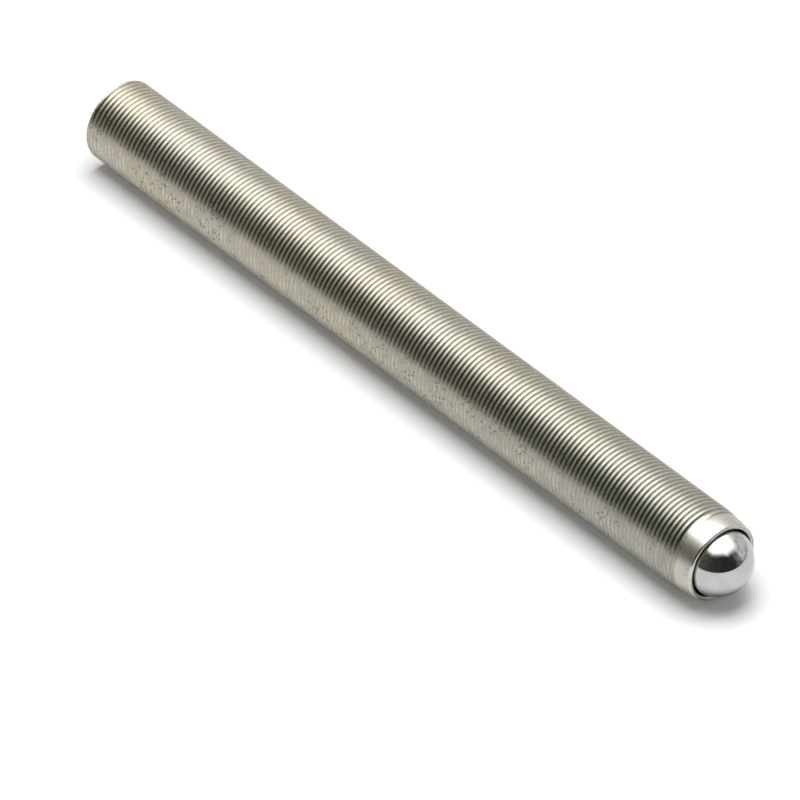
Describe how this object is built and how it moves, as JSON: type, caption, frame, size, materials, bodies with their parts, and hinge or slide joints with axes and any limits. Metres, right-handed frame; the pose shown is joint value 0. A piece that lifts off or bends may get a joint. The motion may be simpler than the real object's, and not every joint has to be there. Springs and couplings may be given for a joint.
{
  "type": "fine-thread adjusting screw",
  "caption": "Long slim adjusting screw with a very fine thread over its length, a hex key socket in the flat rear end and a captive steel ball in the tapered nose.",
  "frame": {"origin": "centre of the flat rear face, on the plane that the screw stands on", "axes": "+Z along the axis of the screw, from the rear face up towards the ball"},
  "size_m": [0.0066, 0.0066, 0.07],
  "materials": {
    "turned_steel": "turned, with a faint warm tint",
    "ball_steel": "polished"
  },
  "bodies": {
    "screw": {"threaded_body": "turned_steel"},
    "tip": {"ball": "ball_steel"}
  },
  "joints": [
    {"name": "ball_turn", "type": "hinge", "parent": "screw", "child": "tip", "pos_m": [0, 0, 0.06735], "axis": [0, 0, 1], "continuous": true}
  ]
}
